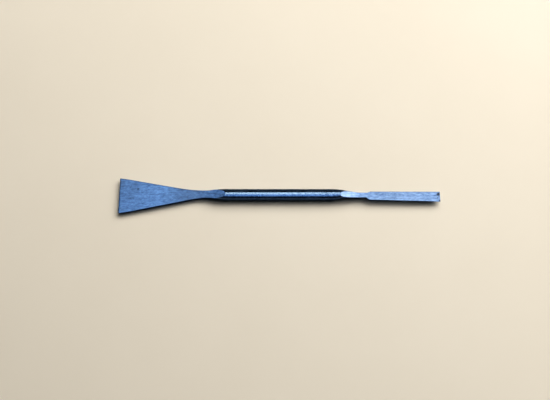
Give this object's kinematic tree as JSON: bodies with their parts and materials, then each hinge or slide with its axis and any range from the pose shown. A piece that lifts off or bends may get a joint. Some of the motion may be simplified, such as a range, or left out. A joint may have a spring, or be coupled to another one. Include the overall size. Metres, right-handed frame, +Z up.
{
  "type": "double-ended pry bar",
  "caption": "Slim double-ended steel pry bar: a wide flared flat blade and a narrow flat blade, each scarf-joined to one end of a round dark steel shank.",
  "frame": {"origin": "under the middle of the bounding box, on the surface that the bar lies on; the line of the shank runs 0.95 mm to its +Y side, because the wide blade leans to the front", "axes": "+X along the bar from the wide edge to the narrow edge, +Z up out of the blades' upper faces, +Y to the back edge of the blades"},
  "size_m": [0.305, 0.0338, 0.0105],
  "materials": {
    "wide_blade_ground_steel": "matt ground blue-grey steel with fine scratches along the bar",
    "shank_dark_steel": "glossy dark blue-black oxide with a fine speckled grain",
    "narrow_blade_ground_steel": "satin ground light blue-grey steel"
  },
  "bodies": {
    "root": {"wide_blade": "wide_blade_ground_steel", "shank": "shank_dark_steel", "narrow_blade": "narrow_blade_ground_steel"}
  },
  "joints": []
}
